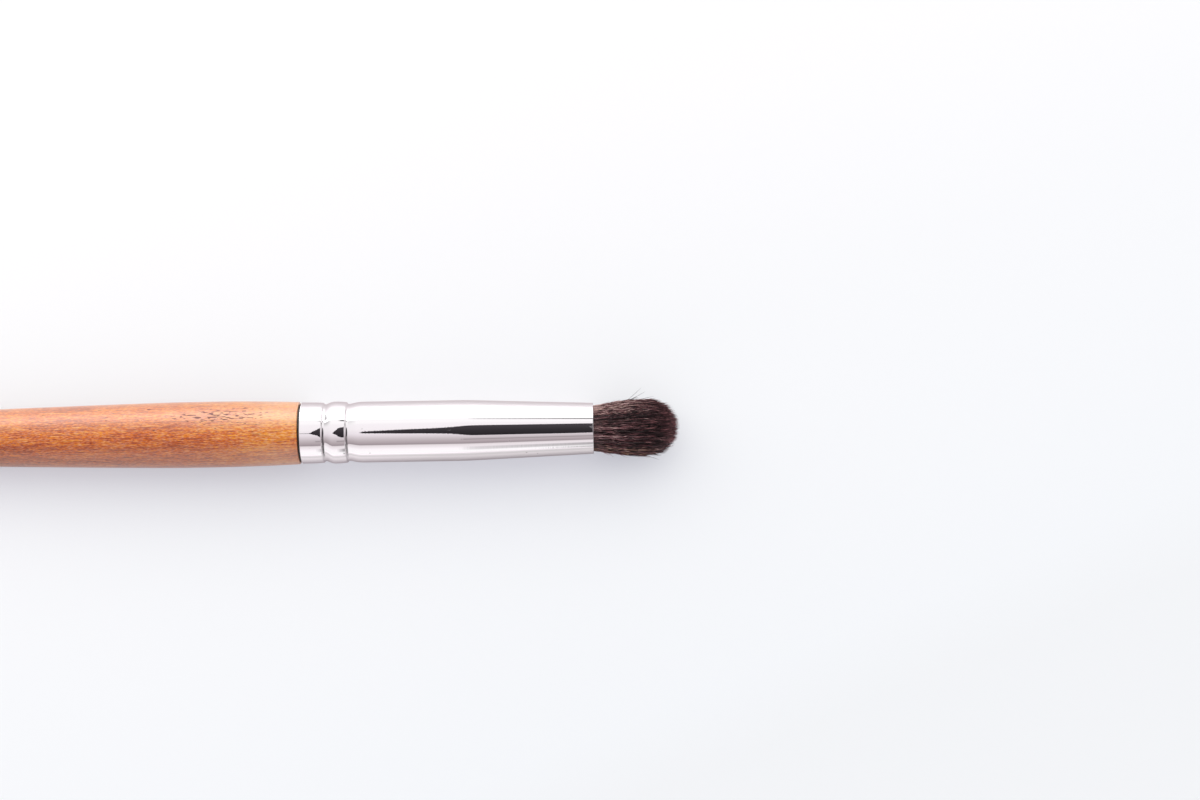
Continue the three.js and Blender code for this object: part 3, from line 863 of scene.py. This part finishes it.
def hairTones(rng, disc, lock, reach):
    # From 0, dark, to 1, light: a share for the lock, one for the hair, one for each station, a
    # wave along it, partly a painted highlight for the glints on wavy hair, and the change from root
    # to tip. The very ends are painted lighter, as light through them, and so is the +Y side by the
    # root, with its +Y edge lighter still, as painted light. A band on the -Y side is painted darker,
    # as painted shade, and the -Y edge is more golden. Towards the tip the hair turns ruddy, which
    # at the very ends is painted light through them.
    t = tuftShape
    count, locks = t["hairs"], t["locks"]
    hairTone = rng.normal(0, t["lockTone"], locks)[lock] + rng.normal(0, t["hairTone"], count)
    hairTone += t["lightTone"] * (rng.random(count) < t["lightShare"])
    # A wave of tone along each hair, partly a painted highlight for the glints on wavy hair
    waveLength = rng.uniform(*t["toneWave"], (count, 1))
    wave = np.sin(2 * np.pi * reach / waveLength + rng.uniform(0, 6.28, (count, 1)))
    grown = np.clip(reach / (tipX - mouthX), 0, 1)
    change = np.interp(grown, [0, 0.2, 0.55, 0.9, 1], [0.2, 0.13, -0.01, -0.14, -0.03])
    # Painted light: the very ends lighter, as light through the thin ends
    ends = np.interp(np.linspace(0, 1, t["stations"]), [0, 0.92, 1], [0, 0, 0.48])
    up = disc[:, :1]
    # Painted light: the +Y side by the root lighter, and its +Y edge lighter still
    lightSide = 0.2 * np.clip(up, 0, 1) * (1 - grown) ** 1.5
    rim = 0.85 * np.clip((up - 0.7) / 0.2, 0, 1) * (1 - grown)
    # Painted shade: a band on the -Y side darker along the middle of the tuft
    shadeAlong = np.interp(grown, [0.25, 0.45, 0.8, 0.95], [0, 1, 1, 0])
    shade = 0.2 * np.exp(-((up + 0.3) / 0.35) ** 2) * shadeAlong
    spotty = rng.normal(0, t["spotTone"], reach.shape)
    spread = np.interp(grown, [0, 0.3, 1], [0.85, 1.2, 1.15])
    tone = t["baseTone"] + (hairTone[:, None] + t["waveTone"] * wave + spotty) * spread
    tone = np.clip(tone + change + ends + lightSide + rim - shade, 0, 1)
    lowSide = np.clip(-2.2 * disc[:, 0] - 0.9, 0, 1)
    warmth = np.clip(rng.random(locks)[lock] ** 3 * 0.25 + 0.8 * lowSide * rng.random(locks)[lock], 0, 1)
    # Ruddier towards the tip, and at the very ends as painted light through them
    ruddy = np.interp(grown, [0.5, 1], [0, 0.35]) + 0.3 * (ends > 0)
    return tone, warmth[:, None] - ruddy


def makeTuft():
    t = tuftShape
    rng = np.random.default_rng(t["seed"])
    centre, disc, share, lock, reach = hairCentrelines(rng)
    tone, warmth = hairTones(rng, disc, lock, reach)
    thickness = t["hairRadius"] * rng.uniform(0.7, 1.3, t["hairs"])
    along = np.linspace(0, 1, t["stations"])
    radius = thickness[:, None] * np.interp(along, [0, 0.6, 0.88, 1], [1, 1, 0.7, 0.12])
    material = brushHair()
    layers = [
        ("hair_core", 0, 0.5, 2), ("hair_middle", 0.5, 0.72, 2), ("hair_outer", 0.72, 0.81, 1),
        ("hair_second", 0.81, 0.88, 1), ("hair_surface", 0.88, 0.94, 1), ("hair_rim", 0.94, 1.01, 1),
    ]
    for name, low, high, step in layers:
        own = (share >= low) & (share < high)
        kept = [values[own, ::step] for values in (centre, radius, tone, warmth)]
        addHair(name, *kept, material)
    fuzzCentre, u = fuzzCentrelines(rng)
    fuzzRadius = 0.5 * t["hairRadius"] * np.broadcast_to(1 - 0.7 * u ** 2, fuzzCentre.shape[:2])
    # The fuzz is lighter and ruddy, partly as painted light through the thin ends
    fuzzTone = np.clip(rng.normal(0.5, 0.15, (t["fuzz"], 1)) + 0.25 * u, 0, 1)
    addHair("hair_fuzz", fuzzCentre, fuzzRadius, fuzzTone, np.full(fuzzTone.shape, -0.5), material)
    strayCentre, u, strayTone = strayCentrelines()
    strayRadius = 0.6 * t["hairRadius"] * np.broadcast_to(1 - 0.55 * u, strayCentre.shape[:2])
    addHair("hair_strays", strayCentre, strayRadius, strayTone, np.full(strayTone.shape, 0.1), material)


makeTuft()
print("hair grown")


def rootProfile():
    # The glued root fills the bore, with a waist where the thread ties it.
    clearance = glueShape["clearance"]
    low = threadLow.x / mm - clearance
    high = threadHigh.x / mm + clearance
    inner = (threadHigh.z - threadLow.z) / 2 / mm - threadShape["diameter"] - clearance
    frontX = mouthX - tuftShape["rootRecess"]
    x = np.linspace(rootBackX, frontX, 120)
    r = boreRadius(x - rimX) - clearance
    r = np.where((x > low) & (x < high), inner - 0.05, r)
    r = np.minimum(r, softened(x, r, 0.15))
    return np.concatenate([[rootBackX], x, [frontX]]), np.concatenate([[0], r, [0]])


# Hair packed tight and soaked with glue: dark, with fine ridges along the hairs
packedHair = noiseMaterial(
    "hair_root_glued", {"Scale": 1, "Detail": 1}, [(0.35, "1d1414"), (0.65, "3c2a29")],
    {"Distance": 0.00004, "Strength": 1}, {"Roughness": 0.5}, (200, 12000, 12000),
)
addPiece("hair_root", *turned(*rootProfile(), 96), packedHair, "brush_hair", "hair_tuft", 40)
print("root made")

# Studio

studio = {
    "floorSize": 3000,
    "floor": "c4c5c0",
    "floorGlow": 0.46,  # what the camera sees on top of the light that the floor reflects
    "nearMirrored": 0.2,  # the same in mirrors, where it is lowest
    "farMirrored": 0.88,  # and a hand's width from the brush
    "floorBounce": 0.7,  # the same, for the matt surfaces of the brush
    "cardHeight": 300,
    "mirrorStrength": 1.34,
    "softboxStrength": 6,
    "lightStrength": 2.5,
    "secondHand": 0.1,  # share kept of the light that reaches the floor by way of the brush
}
# Outline of the dark card over the brush, from the lens, in millimetres.
cardOutline = [
    (-87, -6), (-73, -5), (-66, 16), (-60, 30), (-55, 44), (-47, 57), (-42, 76), (-39, 85), (-24, 103),
    (-3, 112), (9, 119), (20, 127), (40, 124), (48, 90), (48, -66), (30, -92), (15, -102), (3, -99),
    (-16, -98), (-32, -80), (-39, -68), (-44, -52), (-50, -42), (-55, -38), (-66, -23), (-73, -14),
    (-87, -13),
]
floorZ = axisZ - handleShape["belly"]


def addFlat(name, outline, z, material):
    corners = [(x * mm, y * mm, z * mm) for x, y in outline]
    flat = addObject(name, corners, [range(len(outline))], material)
    return flat


def paleTable():
    # Smooth white laminate. It glows a little for the camera and in mirrors, so that it reads as
    # white and the shadow on it stays light. The camera's glow falls off towards -Y and +X. The
    # mirrors' falls off close to the brush and in a strip on its -Y side, more so beside the cone,
    # and is pinker.
    material, add = newMaterial("white_laminate_satin")
    rays = add("LightPath")
    place = add("TexCoord").outputs["Object"]
    parts = add("SeparateXYZ", {0: place})
    acrossPlace = add("MapRange", {"Value": parts.outputs["Y"], "From Min": -0.2, "From Max": 0.2})
    away = add("ValToRGB", {"Fac": acrossPlace}, [
        (0.23, "ffffff"), (0.27, "bebebe"), (0.37, "a8a8a8"), (0.41, "707070"), (0.422, "707070"),
        (0.435, "bebebe"), (0.447, "c8c8c8"), (0.46, "bababa"), (0.475, "a4a4a4"), (0.485, "707070"),
        (0.5, "707070"), (0.505, "b6b6b6"), (0.53, "b9b9b9"), (0.55, "c9c9c9"), (0.59, "dddddd"),
        (0.66, "efefef"), (0.8, "ffffff"),
    ])
    levels = add("MapRange", {
        "Value": away, "To Min": studio["nearMirrored"], "To Max": studio["farMirrored"],
    })
    alongCone = add("MapRange", {
        "Value": parts.outputs["X"], "From Min": (mouthX - 39) * mm, "From Max": (mouthX - 24) * mm,
        "To Max": -0.27,
    })
    onNearSide = add("MapRange", {"Value": parts.outputs["Y"], "From Min": 0.002, "From Max": -0.003})
    dimmed = add("Math", {0: alongCone, 1: onNearSide, 2: 1}, operation="MULTIPLY_ADD")
    mirrored = add("Math", {0: levels, 1: dimmed}, operation="MULTIPLY")
    seen = add("Math", {0: rays.outputs["Is Camera Ray"], 1: studio["floorGlow"]}, operation="MULTIPLY")
    alsoMirrored = add("Math", {
        0: rays.outputs["Is Glossy Ray"], 1: mirrored, 2: seen,
    }, operation="MULTIPLY_ADD")
    firstBounce = add("Math", {0: rays.outputs["Diffuse Depth"], 1: 1, 2: 0.5}, operation="COMPARE")
    glow = add("Math", {
        0: firstBounce, 1: studio["floorBounce"], 2: alsoMirrored,
    }, operation="MULTIPLY_ADD")
    nearness = add("VectorMath", {0: place, 1: (-0.4, 1, 0)}, operation="DOT_PRODUCT")
    share = add("MapRange", {"Value": nearness, "From Min": -0.09, "From Max": 0.09})
    tint = add("ValToRGB", {"Fac": share}, [
        (0, "d9dbe9"), (0.07, "dfe2f1"), (0.38, "e9e9f6"), (0.5, "f0eefa"), (0.58, "f4f1fc"),
        (0.75, "f9f6ff"), (1, "fdf9ff"),
    ])
    pinker = add("Mix", {
        "Factor": rays.outputs["Is Glossy Ray"], "A": tint, "B": toLinear("ebdfe9"),
    }, data_type="RGBA")
    shader = add("BsdfPrincipled", {
        "Base Color": toLinear(studio["floor"]), "Roughness": 0.4, "Specular IOR Level": 0.3,
        "Emission Color": pinker, "Emission Strength": glow,
    })
    add("OutputMaterial", {"Surface": shader})
    return material


half = studio["floorSize"] / 2
addFlat("floor", [(-half, -half), (half, -half), (half, half), (-half, half)], floorZ, paleTable())


def blackCard():
    # What the metal mirrors from above: a card in near black, a little lighter on its +Y side.
    material, add = newMaterial("black_card_matt")
    place = add("TexCoord").outputs["Object"]
    parts = add("SeparateXYZ", {0: place})
    share = add("MapRange", {"Value": parts.outputs["Y"], "From Min": -0.1, "From Max": 0.1})
    tone = add("ValToRGB", {"Fac": share}, [(0, "2e2b2e"), (0.5, "3d393d"), (1, "504b50")])
    shader = add("Emission", {"Color": tone, "Strength": 1})
    add("OutputMaterial", {"Surface": shader})
    return material


darkCard = addFlat("dark_card", [(cameraX + x, y) for x, y in cardOutline[::-1]],
                   axisZ + studio["cardHeight"], blackCard())
darkCard.visible_camera = False
darkCard.visible_diffuse = False
darkCard.visible_transmission = False
darkCard.visible_shadow = False


def studioWorld():
    # A softbox on the far side, a white ceiling and a low reflector on the near side, all as a
    # function of the angle from straight up, positive towards +Y. Mirrors and matt surfaces each
    # have their own, and the camera sees plain white.
    world = bpy.data.worlds.new("studio")
    world.use_nodes = True
    world.node_tree.nodes.clear()
    add = partial(addNode, world.node_tree)
    direction = add("TexCoord").outputs["Generated"]
    parts = add("SeparateXYZ", {0: direction})
    rays = add("LightPath")
    fromUp = add("Math", {0: parts.outputs["Y"], 1: parts.outputs["Z"]}, operation="ARCTAN2")
    place = add("MapRange", {"Value": fromUp, "From Min": -math.pi, "From Max": math.pi})

    def ring(stops):
        # stops are (degrees from straight up, sRGB hex)
        places = [(0.5 + degrees / 360, code) for degrees, code in stops]
        return add("ValToRGB", {"Fac": place}, places)

    mirrored = ring([
        (-90, "fffcfd"), (-84, "ffffff"), (-70, "fffbfd"), (-62, "f2ecef"), (-56, "e9e3e5"),
        (-52.3, "e4dddf"), (-49.3, "9c9296"), (-44, "aba1a4"), (-36, "b9afb2"), (-27, "c8c0c3"),
        (-19, "d8d0d4"), (-12, "e5dee2"), (-4, "efe9ed"), (2, "f0ebee"), (10, "f6f2f4"),
        (29, "f8f5f7"), (36, "fffefe"), (90, "ffffff"),
    ])
    softbox = ring([(49, "000000"), (58, "ffffff"), (86, "ffffff"), (91, "000000")])
    bright = add("MapRange", {
        "Value": softbox, "To Min": studio["mirrorStrength"], "To Max": studio["softboxStrength"],
    })
    # Gaps between the panels, which open towards the hair: where one begins along X, and how far
    # it darkens what is there
    gaps = [
        ([(-90, "ffffff"), (-85, "ffffff"), (-80, "000000")], 0.03, 0.05, 0.5),
        ([(-81.5, "000000"), (-75, "ffffff"), (-67, "ffffff"), (-60.5, "000000")], -0.05, 0.075, 0.62),
        ([(-36, "000000"), (-33.5, "ffffff"), (-31.5, "ffffff"), (-29, "000000")], -0.045, -0.03, 0.32),
        ([(43, "000000"), (44.5, "ffffff"), (48.5, "ffffff"), (50, "000000")], -0.01, 0.075, 0.85),
    ]
    for stops, begins, full, most in gaps:
        gap = add("MapRange", {
            "Value": parts.outputs["X"], "From Min": begins, "From Max": full, "To Max": -most,
        })
        left = add("Math", {0: ring(stops), 1: gap, 2: 1}, operation="MULTIPLY_ADD")
        bright = add("Math", {0: bright, 1: left}, operation="MULTIPLY")
    # Beyond the ends of the panels it is darker, most of all on the far side
    sideways = add("Math", {0: parts.outputs["X"]}, operation="ABSOLUTE")
    beyond = add("MapRange", {"Value": sideways, "From Min": 0.3, "From Max": 0.7})
    darker = add("MapRange", {
        "Value": place, "From Min": 0.58, "From Max": 0.69, "To Min": -0.05, "To Max": -0.88,
    })
    kept = add("Math", {0: beyond, 1: darker, 2: 1}, operation="MULTIPLY_ADD")
    bright = add("Math", {0: bright, 1: kept}, operation="MULTIPLY")
    mirror = add("Background", {"Color": mirrored, "Strength": bright})
    matt = ring([
        (-90, "8a8a90"), (-65, "88888e"), (-50, "7a7a80"), (-30, "7b7b80"), (-15, "717175"),
        (-4, "7c7c80"), (5, "949496"), (15, "bababc"), (25, "d8d8d8"), (40, "e8e8e6"),
        (55, "fdfdf9"), (66, "e4e4e0"), (75, "a2a2a0"), (86, "474749"),
    ])
    soft = add("Background", {"Color": matt, "Strength": studio["lightStrength"]})
    plain = add("Background", {"Color": toLinear("fdfcff"), "Strength": 1})
    lit = add("MixShader", {0: rays.outputs["Is Glossy Ray"], 1: soft, 2: mirror})
    # Light that comes off the brush onto the floor is held back, so that it leaves no tint there
    earlier = add("Math", {
        0: rays.outputs["Diffuse Depth"], 1: rays.outputs["Is Diffuse Ray"],
    }, operation="SUBTRACT")
    once = add("Math", {0: earlier, 1: 1}, operation="MINIMUM")
    heldBack = add("Math", {0: once, 1: 1 - studio["secondHand"]}, operation="MULTIPLY")
    nothing = add("Background", {"Color": (0, 0, 0, 1), "Strength": 0})
    left = add("MixShader", {0: heldBack, 1: lit, 2: nothing})
    shown = add("MixShader", {0: rays.outputs["Is Camera Ray"], 1: left, 2: plain})
    add("OutputWorld", {"Surface": shown})
    bpy.context.scene.world = world


studioWorld()
bpy.context.scene.view_settings.view_transform = "Standard"
print("studio lit")
